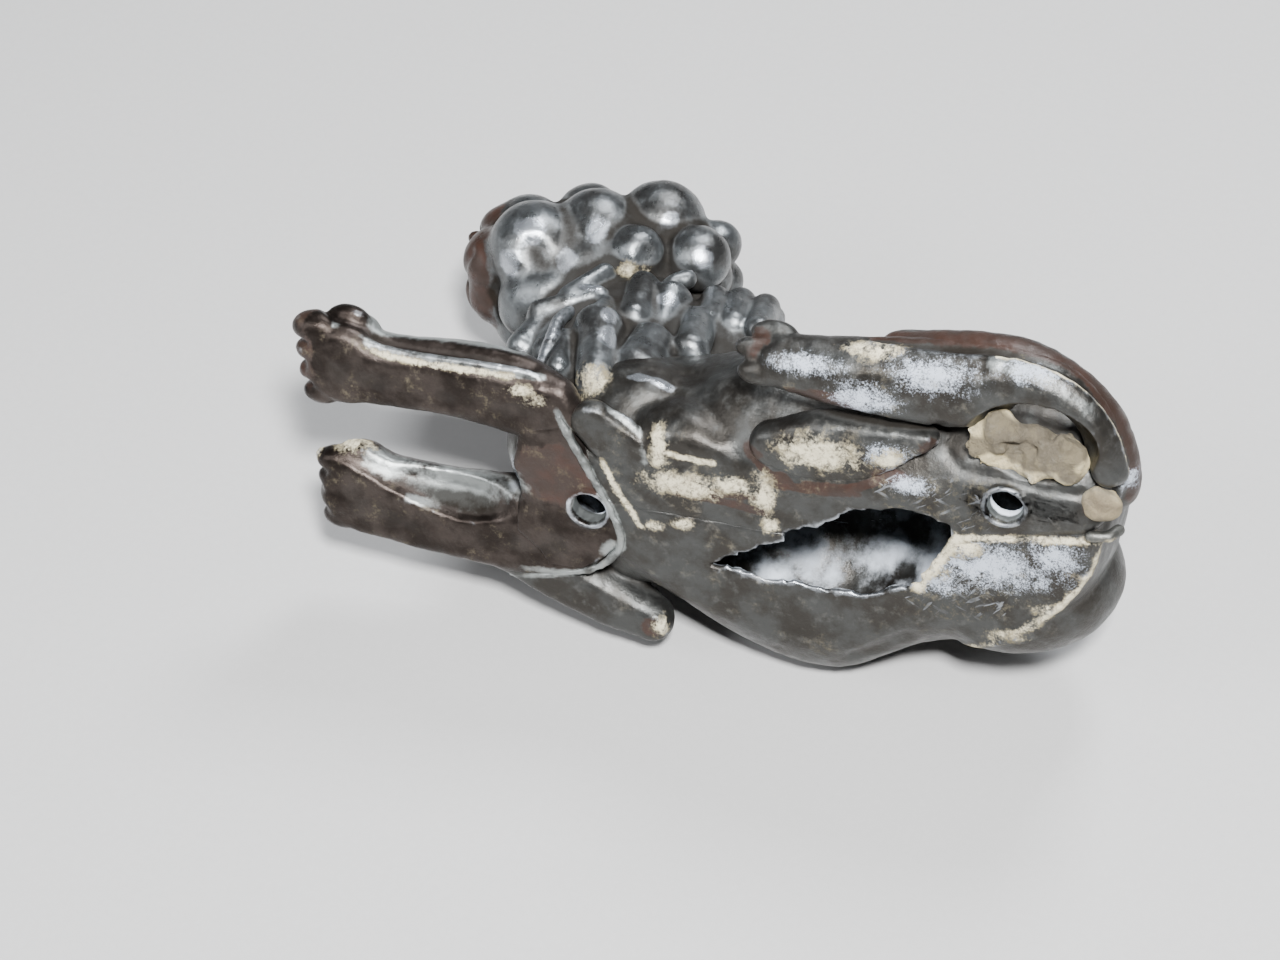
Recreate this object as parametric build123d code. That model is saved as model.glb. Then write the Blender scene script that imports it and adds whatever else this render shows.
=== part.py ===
from build123d import *
import os

# Recumbent curly-maned lion, cast hollow in white metal and meant to be screwed to a base.
# The filed underside lies on Z = 0, the animal faces -Y, and its left side is +X.
# All sizes are in millimetres.

os.makedirs("parts", exist_ok=True)

# Driving dimensions
WALL = 2.0                 # thickness of the cast shell
PLATE = 3.6                # thickness of the two screwed plates
HOLE_R = 1.7               # fixing holes, clearance for a 3 mm screw
RIM_R = 2.5                # punched rim round each fixing hole
RIM_DEPTH = 0.7
RESIDUE = 0.9              # depth of the old plaster in its recesses
SEAM = 0.8                 # width of a soldered seam
TALL = 60.0                # taller than the whole figure
MIDLINE_X = 3.65           # the animal's midline, from the middle of its bounding box
MIDDLE_Y = 0.0

FRONT_HOLE = (-5.0, -11.3)
REAR_HOLE = (1.7, 28.3)

# Torso stations along Y: centre x, half width, height of the widest point, top, depth of the lower half
TORSO = [
    (-19.0, -2.0, 5.2, 9.5, 19.0, 7.4),
    (-13.0, -3.4, 7.8, 8.8, 19.4, 9.0),
    (-5.0, -5.8, 10.9, 8.0, 19.4, 9.2),
    (4.0, -7.2, 15.2, 7.5, 20.0, 8.8),
    (12.0, -7.8, 15.6, 7.0, 20.5, 8.3),
    (20.0, -5.6, 13.6, 8.0, 21.0, 9.2),
    (28.0, -3.8, 13.0, 8.5, 20.5, 9.6),
    (33.5, -2.4, 10.8, 8.0, 17.5, 9.0),
    (37.0, -0.4, 7.2, 7.5, 13.0, 7.3),
]

# Limbs as stations: centre, half width, half height
LEFT_FORELEG = [
    ((6.9, -36.0, 2.3), 4.1, 3.3),
    ((6.3, -31.0, 2.2), 3.3, 3.3),
    ((6.0, -25.0, 2.4), 3.4, 3.5),
    ((5.4, -19.0, 2.4), 3.8, 3.5),
    ((4.4, -14.4, 1.6), 3.8, 2.4),
]
RIGHT_FORELEG = [
    ((-8.0, -36.0, 2.4), 4.4, 3.4),
    ((-8.9, -31.0, 2.4), 4.5, 3.6),
    ((-9.7, -25.0, 2.7), 4.6, 4.0),
    ((-10.2, -19.0, 3.1), 5.0, 4.2),
    ((-9.8, -14.0, 3.2), 4.8, 4.2),
]
RIGHT_ARM = [
    ((-13.2, -20.6, 4.0), 2.6, 3.6),
    ((-15.0, -15.6, 3.8), 3.4, 3.9),
    ((-17.4, -10.6, 3.2), 3.0, 3.3),
    ((-18.8, -6.6, 2.4), 2.2, 2.4),
]
LEFT_HIND_LEG = [
    ((12.5, 7.4, 2.9), 2.5, 2.6),
    ((12.2, 12.0, 2.9), 3.0, 3.2),
    ((12.0, 18.0, 3.2), 3.6, 3.8),
    ((12.2, 24.0, 3.4), 3.9, 4.0),
    ((14.0, 28.8, 2.7), 2.4, 3.0),
    ((13.0, 33.0, 2.5), 2.0, 2.7),
    ((10.0, 35.9, 2.3), 1.8, 2.5),
    ((6.0, 37.2, 2.4), 1.7, 2.4),
]
RIGHT_HIND_FOOT = [
    ((4.3, 6.2, 1.5), 1.7, 1.7),
    ((4.3, 8.8, 1.6), 3.1, 2.5),
    ((4.7, 12.0, 1.8), 3.5, 2.8),
    ((5.4, 15.6, 1.6), 2.9, 2.6),
    ((6.6, 19.0, 1.4), 1.7, 2.0),
    ((7.3, 21.2, 1.2), 0.9, 1.4),
]
TAIL = [
    ((0.2, 37.4, 6.6), 1.7, 2.0),
    ((4.2, 37.7, 4.8), 1.9, 2.1),
    ((8.6, 36.5, 4.2), 2.0, 2.2),
    ((12.2, 33.6, 4.2), 2.0, 2.3),
    ((14.3, 29.4, 4.4), 2.0, 2.4),
    ((14.4, 25.0, 4.8), 2.0, 2.4),
    ((13.5, 20.6, 5.4), 2.1, 2.3),
    ((12.6, 17.6, 5.9), 2.2, 2.2),
]

HEAD = (0.0, -20.5, 31.6)
SKULL = (7.6, 10.0, 8.2)
CURL_R = 3.1
# Rows of curls over the head: elevation in degrees, count, first azimuth in degrees
CURL_ROWS = [(-22.0, 8, 20.0), (20.0, 8, 0.0), (56.0, 5, 18.0), (90.0, 1, 0.0)]

# Plan outlines of the screwed plates, the belly slot and the plaster recesses
CHEST_OUTLINE = [(3.4, -17.6), (4.8, -13.4), (3.0, -12.4), (-0.4, -10.6), (-4.0, -8.6), (-7.2, -7.4),
                 (-9.6, -9.0), (-12.6, -12.4), (-12.8, -16.0), (-9.0, -19.6), (-5.0, -18.4), (-1.0, -18.6)]
REAR_OUTLINE = [(-1.6, 24.8), (1.5, 22.4), (4.2, 24.6), (4.4, 30.0), (3.2, 35.4), (-0.6, 36.4), (-1.2, 30.0)]
SLOT_UPPER = [(-9.7, 0.6), (-7.6, 4.0), (-4.0, 9.6), (-1.3, 14.0), (-0.2, 19.4), (-1.4, 23.2)]
SLOT_LOWER = [(-2.4, 23.4), (-8.4, 20.6), (-10.6, 15.0), (-10.4, 6.8)]
BELLY_PLASTER = [(-3.4, -5.0), (1.4, -5.2), (3.4, -3.2), (3.2, 0.6), (1.0, 3.4), (-2.4, 6.4), (-3.6, 2.0)]
FOOT_PLASTER = [(2.7, 8.4), (6.0, 7.8), (7.0, 10.0), (7.0, 13.6), (5.6, 15.2), (3.2, 13.0)]
RUMP_PLASTER = [(1.7, 35.4), (3.3, 35.0), (3.6, 37.6), (2.0, 38.2)]
# The plan line that parts the left and right shells, from the chest to the rump
PARTING = [(-2.0, -40.0), (-4.5, 0.0), (-5.0, 12.0), (-3.0, 25.0), (0.0, 36.0), (0.0, 50.0)]

# Pocket between the hind leg and the rear plate, centre and semi-axes
POCKET = ((8.6, 30.6, 0.0), (4.3, 5.9, 3.2))


def egg(centre, radii, turn=(0, 0, 0)):
    """Ellipsoid with the given semi-axes, turned about its centre."""
    return Pos(*centre) * Rot(*turn) * scale(Sphere(1), by=tuple(radii))


def box_between(low, high):
    """Box between two corners."""
    size = [top - bottom for bottom, top in zip(low, high)]
    return Pos(*low) * Box(*size, align=(Align.MIN, Align.MIN, Align.MIN))


def prism(outline, bottom, top):
    """Upright prism over a plan outline."""
    return Pos(0, 0, bottom) * extrude(make_face(Polyline(*outline, close=True)), top - bottom)


def limb(stations):
    """Smooth limb through elliptic sections square to its own line."""
    centres = [Vector(*centre) for centre, width, height in stations]
    sections = []
    for index, (centre, width, height) in enumerate(stations):
        before = centres[max(index - 1, 0)]
        after = centres[min(index + 1, len(centres) - 1)]
        along = (after - before).normalized()
        across = Vector(0, 0, 1).cross(along).normalized()
        plane = Plane(origin=centre, x_dir=across, z_dir=along)
        sections.append(plane * Ellipse(width, height))
    return loft(sections)


def torso_section(y, centre_x, half_width, widest, top, depth, inset):
    """Closed section of the torso: a low round belly under a higher round back."""
    back = top - widest - inset
    belly = depth - inset
    half = half_width - inset
    corner = 0.80
    points = [
        (centre_x + half, y, widest),
        (centre_x + half * corner, y, widest + back * 0.62),
        (centre_x, y, widest + back),
        (centre_x - half * corner, y, widest + back * 0.62),
        (centre_x - half, y, widest),
        (centre_x - half * corner, y, widest - belly * 0.70),
        (centre_x, y, widest - belly),
        (centre_x + half * corner, y, widest - belly * 0.70),
    ]
    return make_face(Spline(*points, periodic=True))


def torso(inset):
    """Torso from chest to rump, shrunk by inset for the hollow."""
    first, last = TORSO[0], TORSO[-1]
    stations = list(TORSO)
    if inset:
        stations[0] = (first[0] + inset,) + first[1:]
        stations[-1] = (last[0] - inset,) + last[1:]
    return loft([torso_section(*station, inset) for station in stations])


def above_base(solid, height=0.0):
    """What of a solid lies above a level over the base plane."""
    return solid - box_between((-TALL, -TALL, -TALL), (TALL, TALL, height))


def body_outside():
    """Outer form of the trunk: torso, rump, shoulders, haunches and upper arms."""
    solid = torso(0)
    solid += egg((0.0, 34.6, 8.0), (8.4, 3.8, 6.8))
    solid += egg((-2.5, -17.0, 9.0), (6.0, 4.6, 7.4))
    solid += egg((2.6, -8.0, 7.6), (4.2, 5.0, 5.6))
    solid += egg((-11.4, -7.6, 9.6), (6.2, 7.2, 8.2))
    solid += egg((0.0, 26.0, 11.5), (8.2, 10.2, 8.8))
    solid += egg((-11.4, 27.6, 8.4), (7.6, 10.6, 9.2))
    solid += egg((1.5, -1.6, 3.4), (4.6, 6.6, 4.4))
    solid += egg((3.2, -8.6, 1.2), (3.6, 3.0, 2.8))
    solid += limb(RIGHT_ARM)
    return above_base(solid)


def left_side():
    """Everything on the left of the parting line."""
    return prism(PARTING + [(TALL, 50.0), (TALL, -40.0)], -TALL, TALL)


def belly_slot():
    """The corroded crescent opening in the belly."""
    upper = Spline(*SLOT_UPPER)
    lower = Spline(*SLOT_LOWER)
    front = Line(SLOT_LOWER[-1], SLOT_UPPER[0])
    rear = Line(SLOT_UPPER[-1], SLOT_LOWER[0])
    return Pos(0, 0, -1) * extrude(make_face([upper, rear, lower, front]), WALL + 4)


def hole(plan_point):
    """Through hole with its punched rim, as the solid to cut away."""
    x, y = plan_point
    bore = Pos(x, y, 0) * Cylinder(HOLE_R, 4 * PLATE)
    rim = Pos(x, y, RIM_DEPTH / 2) * Cone(RIM_R, HOLE_R, RIM_DEPTH)
    return bore + rim


def paw(centre, toe_y, toe_xs, toe_r):
    """Rounded paw with a row of toes."""
    solid = egg(centre, (4.6, 4.0, 3.8))
    for toe_x in toe_xs:
        solid += egg((toe_x, toe_y, toe_r * 0.9), (toe_r, toe_r * 1.3, toe_r))
    return solid


def left_foreleg():
    solid = limb(LEFT_FORELEG)
    solid += paw((7.2, -35.2, 2.2), -37.6, (3.9, 6.1, 8.4, 10.5), 1.7)
    return above_base(solid)


def right_foreleg():
    solid = limb(RIGHT_FORELEG)
    solid += paw((-7.5, -35.2, 2.2), -37.2, (-10.7, -8.6, -6.4, -4.5), 1.6)
    return above_base(solid)


def left_hind_leg():
    solid = limb(LEFT_HIND_LEG)
    for toe in ((14.2, 6.2, 4.4), (13.4, 5.2, 3.0), (11.8, 5.6, 1.9)):
        solid += egg(toe, (1.4, 2.3, 1.4))
    return above_base(solid)


def right_hind_foot():
    solid = limb(RIGHT_HIND_FOOT)
    solid += egg((4.2, 6.6, 1.6), (2.4, 2.2, 2.0))
    return above_base(solid)


def tail():
    solid = limb(TAIL)
    solid += egg((12.6, 18.4, 5.8), (2.4, 3.1, 2.4))
    return above_base(solid)


def curl_places():
    """Centres of the curls, in rings round the head, leaving the face open."""
    places = []
    for elevation, count, first in CURL_ROWS:
        for index in range(count):
            azimuth = first + 360.0 * index / count
            outward = Vector(0, -1, 0).rotate(Axis.X, -elevation).rotate(Axis.Z, azimuth)
            places.append(Vector(*[c + o * r for c, o, r in zip(HEAD, outward, SKULL)]))
    return places


def head():
    """Skull, muzzle and the curls fused over them."""
    solid = egg(HEAD, SKULL)
    solid += egg((HEAD[0], HEAD[1] - 9.6, HEAD[2] - 0.6), (4.4, 4.0, 3.8))
    for place in curl_places():
        solid += Pos(place) * Sphere(CURL_R)
    return solid


def mane():
    """Neck ruff from the shoulders up to the head."""
    solid = egg((0.0, -13.6, 20.0), (6.8, 9.0, 11.6), (18, 0, 0))
    solid += egg((0.0, -4.8, 23.0), (4.8, 5.2, 7.2))
    solid += egg((0.0, -17.4, 13.4), (6.8, 6.0, 8.8))
    return solid


def hollow():
    """Space inside the shell, leaving a thick wall round the plaster pocket."""
    solid = above_base(torso(WALL), WALL)
    centre, radii = POCKET
    return solid - egg(centre, [radius + WALL for radius in radii])


def front_seam(legs):
    """Soldered strip behind the chest plate."""
    rear_edge = CHEST_OUTLINE[1:6]
    behind = [(x + SEAM / 2, y + SEAM) for x, y in reversed(rear_edge)]
    return prism(rear_edge + behind, 0, PLATE) - legs


def plaster_recesses():
    """Shallow recesses in the underside that hold old plaster."""
    patches = [prism(outline, 0, RESIDUE) for outline in (BELLY_PLASTER, FOOT_PLASTER, RUMP_PLASTER)]
    return patches[0] + patches[1] + patches[2]


def pocket_lumps(pocket):
    """Lumps of old cement against the roof of the pocket."""
    front = egg((7.0, 27.8, 1.9), (2.6, 2.5, 1.5))
    rear = egg((7.4, 32.6, 1.8), (2.6, 2.4, 1.6))
    return (front + rear) & pocket


def cut_all(solid, cutters):
    """Cut a solid by each cutter in turn."""
    for cutter in cutters:
        solid -= cutter
    return solid


def export_all(pieces):
    """Write each piece with the whole figure's box centred on the origin."""
    for name, solid in pieces.items():
        export_step(Pos(MIDLINE_X, MIDDLE_Y, 0) * solid, f"parts/{name}.step")


def castings():
    """All pieces of the figure, each cut back to its neighbours' faces."""
    left_leg, right_leg = left_foreleg(), right_foreleg()
    legs = left_leg + right_leg
    recesses = plaster_recesses()
    hind_leg = left_hind_leg()
    hind_foot = right_hind_foot() - hind_leg
    tail_piece = tail() - hind_leg
    pocket = above_base(egg(*POCKET))
    chest = prism(CHEST_OUTLINE, 0, PLATE) - legs
    rear = prism(REAR_OUTLINE, 0, PLATE) - hind_leg - pocket
    front_solder = front_seam(legs)
    outside = body_outside()

    front_gap = box_between((-14.0, -40.0, -1.0), (6.0, -12.0, PLATE))
    neighbours = [left_leg, right_leg, hind_leg, hind_foot, tail_piece, chest, rear, front_gap,
                  front_solder, belly_slot(), pocket, recesses]
    trunk = cut_all(outside, neighbours)
    rump_band = box_between((-SEAM / 2, 36.4, -1.0), (SEAM / 2, 44.0, TALL))
    inside = hollow()
    left = left_side()
    head_piece = head() - outside
    return {
        "left_foreleg": left_leg,
        "right_foreleg": right_leg,
        "chest_plate": chest - hole(FRONT_HOLE),
        "rear_plate": rear - recesses - hole(REAR_HOLE),
        "body_shell_left": (trunk & left) - rump_band - inside,
        "body_shell_right": (trunk - left) - rump_band - inside,
        "left_hind_leg": hind_leg,
        "right_hind_foot": hind_foot - recesses,
        "tail": tail_piece,
        "mane": mane() - head_piece - outside - legs,
        "head": head_piece,
        "front_seam_solder": front_solder,
        "rump_seam_solder": (trunk & rump_band) - inside,
        "plaster_residue": Compound([*recesses.solids(), *pocket_lumps(pocket).solids()]),
    }


export_all(castings())
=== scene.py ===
import bpy
import numpy as np
from mathutils import Matrix, Vector


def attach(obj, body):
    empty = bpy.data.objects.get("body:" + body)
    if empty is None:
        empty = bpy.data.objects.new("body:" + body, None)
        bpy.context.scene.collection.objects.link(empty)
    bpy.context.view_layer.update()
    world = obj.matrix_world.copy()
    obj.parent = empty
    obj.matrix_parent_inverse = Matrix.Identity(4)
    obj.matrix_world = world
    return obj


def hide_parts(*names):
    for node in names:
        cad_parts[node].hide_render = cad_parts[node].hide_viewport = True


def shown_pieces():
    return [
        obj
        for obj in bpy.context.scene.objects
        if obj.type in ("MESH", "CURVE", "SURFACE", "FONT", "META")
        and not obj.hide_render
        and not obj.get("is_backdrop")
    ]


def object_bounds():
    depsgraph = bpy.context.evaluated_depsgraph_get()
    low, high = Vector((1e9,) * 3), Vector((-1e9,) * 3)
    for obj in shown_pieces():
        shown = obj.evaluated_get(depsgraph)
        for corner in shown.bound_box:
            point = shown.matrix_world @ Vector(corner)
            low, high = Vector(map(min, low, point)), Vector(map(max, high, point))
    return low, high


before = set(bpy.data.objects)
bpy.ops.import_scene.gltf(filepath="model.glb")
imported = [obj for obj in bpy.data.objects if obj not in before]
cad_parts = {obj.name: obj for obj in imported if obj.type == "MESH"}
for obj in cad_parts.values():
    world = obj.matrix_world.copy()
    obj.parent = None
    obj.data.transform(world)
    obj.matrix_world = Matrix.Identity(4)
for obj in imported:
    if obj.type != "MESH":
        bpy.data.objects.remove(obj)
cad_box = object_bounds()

# Every form below is given in millimetres in the animal's own frame: X to its left from its
# midline, Y towards its rump, Z up from the filed underside. The row's X starts at the middle
# of the bounding box, so the meshes are moved by MIDLINE_X when they are made.
MM = 0.001
MIDLINE_X = 3.65
STEP = 0.25  # spacing of the modelling grid
MARGIN = 1.5  # grid beyond the CAD box
FAR = 4.0  # distance given to points away from every form
BEYOND = 999.0  # farther than any point of the grid
WALL = 1.7  # thickness of the cast shell
NOISE_SEED = 5


# ------------------------ the grid and its fields

class Grid:
    """Sample points over the whole figure, as three axes in mm."""

    def __init__(self, low, high, step):
        self.step = step
        self.low = np.array(low, float)
        self.axes = [np.arange(a, b, step, dtype=np.float32) for a, b in zip(low, high)]
        self.shape = tuple(len(axis) for axis in self.axes)

    def window(self, low, high):
        """Slices of the grid that cover a box, and its open coordinate arrays."""
        slices = []
        for axis, bottom, top in zip(self.axes, low, high):
            first = int(np.clip(np.floor((bottom - axis[0]) / self.step), 0, len(axis) - 1))
            last = int(np.clip(np.ceil((top - axis[0]) / self.step) + 1, first + 1, len(axis)))
            slices.append(slice(first, last))
        x, y, z = (axis[part] for axis, part in zip(self.axes, slices))
        return tuple(slices), x[:, None, None], y[None, :, None], z[None, None, :]

    def empty(self):
        return np.full(self.shape, FAR, np.float32)


def figure_grid():
    """Grid over the CAD box, in the animal's frame."""
    shift = np.array([MIDLINE_X, 0.0, 0.0])
    low = np.array(cad_box[0]) / MM - shift - MARGIN
    high = np.array(cad_box[1]) / MM - shift + MARGIN
    return Grid(low, high, STEP)


GRID = figure_grid()
ALL = GRID.window([-BEYOND] * 3, [BEYOND] * 3)[1:]  # x, y and z of the whole grid


def soft_min(a, b, fillet):
    """Union of two distances with a fillet between them."""
    mix = np.clip(0.5 + 0.5 * (b - a) / fillet, 0, 1)
    return b + (a - b) * mix - fillet * mix * (1 - mix)


def soft_max(a, b, fillet):
    """Intersection of two distances with a rounded edge."""
    return -soft_min(-a, -b, fillet)


def smooth_step(value, low, high):
    """0 below low, 1 above high, smooth between."""
    t = np.clip((value - low) / (high - low), 0, 1)
    return t * t * (3 - 2 * t)


def add(field, shape, fillet=0.4):
    """Join a shape (low, high, distance) into a field."""
    low, high, distance = shape
    pad = max(1.6, fillet + 0.8)
    part, x, y, z = GRID.window(np.array(low) - pad, np.array(high) + pad)
    field[part] = soft_min(field[part], distance(x, y, z), fillet)


def cut(field, shape, fillet=0.2):
    """Take a shape away from a field."""
    low, high, distance = shape
    part, x, y, z = GRID.window(np.array(low) - 1.0, np.array(high) + 1.0)
    field[part] = soft_max(field[part], -distance(x, y, z), fillet)


# ------------------------ shapes

def turn_matrix(turn):
    """Rotation about X, then Y, then Z, in degrees."""
    rx, ry, rz = np.radians(turn)
    about_x = np.array([[1, 0, 0], [0, np.cos(rx), -np.sin(rx)], [0, np.sin(rx), np.cos(rx)]])
    about_y = np.array([[np.cos(ry), 0, np.sin(ry)], [0, 1, 0], [-np.sin(ry), 0, np.cos(ry)]])
    about_z = np.array([[np.cos(rz), -np.sin(rz), 0], [np.sin(rz), np.cos(rz), 0], [0, 0, 1]])
    return about_z @ about_y @ about_x


def egg(centre, radii, turn=(0, 0, 0)):
    """Ellipsoid with its semi-axes along turned axes."""
    centre, radii = np.array(centre, float), np.array(radii, float)
    axes = turn_matrix(turn).T
    reach = np.sqrt((axes ** 2 * (radii[:, None] ** 2)).sum(0))

    def distance(x, y, z):
        near, flat = 0, 0
        for axis, radius in zip(axes, radii):
            along = axis[0] * (x - centre[0]) + axis[1] * (y - centre[1]) + axis[2] * (z - centre[2])
            near = near + (along / radius) ** 2
            flat = flat + (along / radius ** 2) ** 2
        near, flat = np.sqrt(near), np.sqrt(flat)
        return near * (near - 1) / np.maximum(flat, 1e-4)

    return centre - reach, centre + reach, distance


def ball(centre, radius):
    return egg(centre, (radius, radius, radius))


def curve(points, parts=4):
    """Smooth line through points of any width: Catmull-Rom, with parts steps in each span."""
    points = np.array(points, float)
    padded = np.vstack([2 * points[0] - points[1], points, 2 * points[-1] - points[-2]])
    line = []
    for a, b, c, d in zip(padded, padded[1:], padded[2:], padded[3:]):
        for t in np.arange(parts) / parts:
            bend = 2 * a - 5 * b + 4 * c - d
            twist = 3 * b - a - 3 * c + d
            line.append(0.5 * (2 * b + (c - a) * t + bend * t ** 2 + twist * t ** 3))
    line.append(points[-1])
    return np.array(line)


def span(a, b, sizes_a, sizes_b):
    """One length of a limb: elliptic section from (width, height) sizes_a to sizes_b."""
    a, b = np.array(a, float), np.array(b, float)
    length = np.linalg.norm(b - a)
    along = (b - a) / max(length, 1e-6)
    across = np.cross((0, 0, 1.0), along)
    across /= max(np.linalg.norm(across), 1e-6)
    up = np.cross(along, across)
    reach = max(*sizes_a, *sizes_b)
    low, high = np.minimum(a, b) - reach, np.maximum(a, b) + reach

    def distance(x, y, z):
        px, py, pz = x - a[0], y - a[1], z - a[2]
        run = along[0] * px + along[1] * py + along[2] * pz
        t = np.clip(run / max(length, 1e-6), 0, 1)
        width = sizes_a[0] + (sizes_b[0] - sizes_a[0]) * t
        height = sizes_a[1] + (sizes_b[1] - sizes_a[1]) * t
        side = (across[0] * px + across[1] * py + across[2] * pz) / width
        rise = (up[0] * px + up[1] * py + up[2] * pz) / height
        small = np.minimum(width, height)
        over = (run - t * length) / small
        return (np.sqrt(side ** 2 + rise ** 2 + over ** 2) - 1) * small

    return low, high, distance


def add_limb(field, stations, fillet=0.4, parts=3):
    """Join a limb through stations (x, y, z, half width, half height)."""
    line = curve(stations, parts)
    limb = GRID.empty()
    for start, end in zip(line, line[1:]):
        add(limb, span(start[:3], end[:3], start[3:5], end[3:5]), 0.05)
    field[...] = soft_min(field, limb, fillet)


def add_eggs(field, table):
    """Join ellipsoids, each given as centre, semi-axes, fillet and, where it is turned, its turn."""
    for centre, radii, fillet, *turn in table:
        add(field, egg(centre, radii, *turn), fillet)


def add_cord(field, points, radius, fillet=0.3, parts=3):
    """Join a round bead along points."""
    line = curve(points, parts)
    for start, end in zip(line, line[1:]):
        add(field, span(start, end, (radius, radius), (radius, radius)), fillet)


def sample(values, points):
    """Trilinear value of a grid field at points in mm."""
    place = (points - GRID.low) / GRID.step
    place = np.clip(place, 0, np.array(GRID.shape) - 1.001)
    first = place.astype(int)
    part = place - first
    total = np.zeros(len(points))
    for corner in np.ndindex(2, 2, 2):
        weight = np.prod(np.where(corner, part, 1 - part), 1)
        i, j, k = (first + corner).T
        total += weight * values[i, j, k]
    return total


def settle(field, points, reach=0.4):
    """The points, moved onto the nearest part of the surface."""
    for _ in range(4):
        value = sample(field, points)
        rises = [sample(field, points + step) - sample(field, points - step) for step in np.eye(3) * reach]
        slope = np.stack(rises, 1) / (2 * reach)
        points = points - (value / np.maximum((slope ** 2).sum(1), 0.3))[:, None] * slope
    return points


def line_gap(place, line):
    """Squared distance from a place, given as coordinate arrays, to a line of points."""
    nearest = np.inf
    for a, b in zip(line, line[1:]):
        step = b - a
        run = sum((p - start) * s for p, start, s in zip(place, a, step))
        t = np.clip(run / max(step @ step, 1e-6), 0, 1)
        gap = sum((p - start - t * s) ** 2 for p, start, s in zip(place, a, step))
        nearest = np.minimum(nearest, gap)
    return nearest


def press(field, points, width, depth, parts=3):
    """Push the surface in by depth, or out where depth is negative, along a line near it."""
    line = settle(field, curve(points, parts))
    low, high = line.min(0) - 3 * width, line.max(0) + 3 * width
    part, x, y, z = GRID.window(low, high)
    field[part] += depth * np.exp(-line_gap((x, y, z), line) / width ** 2)


def noise(cell, seed):
    """Smooth noise over the whole grid, from -1 to 1, with features of about cell mm."""
    random = np.random.default_rng(NOISE_SEED + seed)
    counts = [int(len(axis) * GRID.step / cell) + 4 for axis in GRID.axes]
    values = random.uniform(-1, 1, counts).astype(np.float32)
    for direction, axis in enumerate(GRID.axes):
        place = (axis - axis[0]) / cell
        first = place.astype(int)
        t = place - first
        t = (t * t * (3 - 2 * t)).astype(np.float32)
        shape = [1, 1, 1]
        shape[direction] = len(axis)
        t = t.reshape(shape)
        values = np.take(values, first, direction) * (1 - t) + np.take(values, first + 1, direction) * t
    return values


# ------------------------ the trunk

# Torso stations along Y: centre x, half width, height of the widest point, top, depth below it
TORSO = [
    (-19, -2, 5.2, 9.5, 19, 7.4),
    (-13, -3.4, 7.8, 8.8, 19.4, 9),
    (-5, -5.8, 10.9, 8, 19.4, 9.2),
    (4, -7.2, 15.2, 7.5, 20, 8.8),
    (12, -7.8, 15.6, 7, 20.5, 8.3),
    (20, -5.6, 13.6, 8, 21, 9.2),
    (28, -3.8, 13, 8.5, 20.5, 9.6),
    (33.5, -2.4, 10.8, 8, 17.5, 9),
    (37, -0.4, 7.2, 7.5, 13, 7.3),
]
RIGHT_ARM = [
    (-13.2, -20.6, 4, 2.6, 3.6),
    (-15, -15.6, 3.8, 3.4, 3.9),
    (-17.4, -10.6, 3.2, 3, 3.3),
    (-18.8, -6.6, 2.4, 2.2, 2.4),
]
ARM_BOTTOM = 0.5  # the arm's flat underside stands clear of the base
ELBOW_TIP = ((-18.9, -6.2, 1.9), 1.9)
TRUNK_SWELLS = [
    ((0, 34.4, 8), (8, 3.8, 6.6), 2),  # rump
    ((-2.5, -17, 9), (6, 4.6, 7.4), 1.6),  # chest
    ((2.4, -8.2, 7.6), (4, 4.8, 5.4), 1.2),  # left shoulder
    ((4.1, -7, 6.2), (2.3, 2.9, 2.3), 0.35),  # rubbed point of the left shoulder
    ((-11.4, -7.6, 9.6), (6.2, 7.2, 8.2), 1.2),  # right shoulder
    ((0, 26, 11.5), (8, 10, 8.6), 1.5),  # loins
    ((-11.4, 27.6, 8.4), (7.4, 10.4, 9), 0.6),  # right haunch
    ((1.5, -1.6, 3.2), (4.4, 6.4, 4.2), 0.8),  # brisket
]
LEFT_ELBOW = ((4.6, -10.6, 0.9), (1.6, -7.6, 0.9), (2.1, 1.9), (2.6, 2.1))
BELLY_ROUNDNESS = 2.3  # power of the torso's section: 2 is an ellipse
ELBOW_RIM = [(5.4, -10.9, 0.9), (5.5, -9.2, 1.2), (4.6, -7.2, 1.3), (2.9, -5.8, 0.9), (1.2, -5.4, 0.5)]
FLANK_FOLD = [(6, -3.4, 9), (5.4, -1, 5), (4.8, 1.6, 1.8)]
BELLY_FOLD = [(-21.6, 10, 4), (-19, 13, 1.8), (-17, 16.6, 0.8), (-15.4, 19, 0.2)]
HAUNCH_EDGE = [(-0.8, 37.6, 0.5), (-5.1, 36.2, 0.2), (-9.6, 32.8, 0.2), (-13.6, 28.2, 0.4), (-16.4, 24.2, 1)]
BELLY_RIDGE = [(-0.6, 8, 0), (1, 13, 0), (2.2, 18, 0), (2, 22, 0)]


def torso(x, y, z):
    """Distance to the torso: a low round belly under a higher round back."""
    table = curve(TORSO, 5)
    centre, half, widest, top, depth = (np.interp(y, table[:, 0], table[:, i]) for i in range(1, 6))
    side = x - centre
    rise = z - widest
    height = np.where(rise > 0, top - widest, depth)
    power = BELLY_ROUNDNESS
    reach = ((np.abs(side) / half) ** power + (np.abs(rise) / height) ** power) ** (1 / power)
    out = np.sqrt(side ** 2 + rise ** 2)
    distance = out * (1 - 1 / np.maximum(reach, 0.05))
    ends = np.maximum(TORSO[0][0] - y, y - TORSO[-1][0])
    return soft_max(distance, ends, 2.0)


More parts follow.
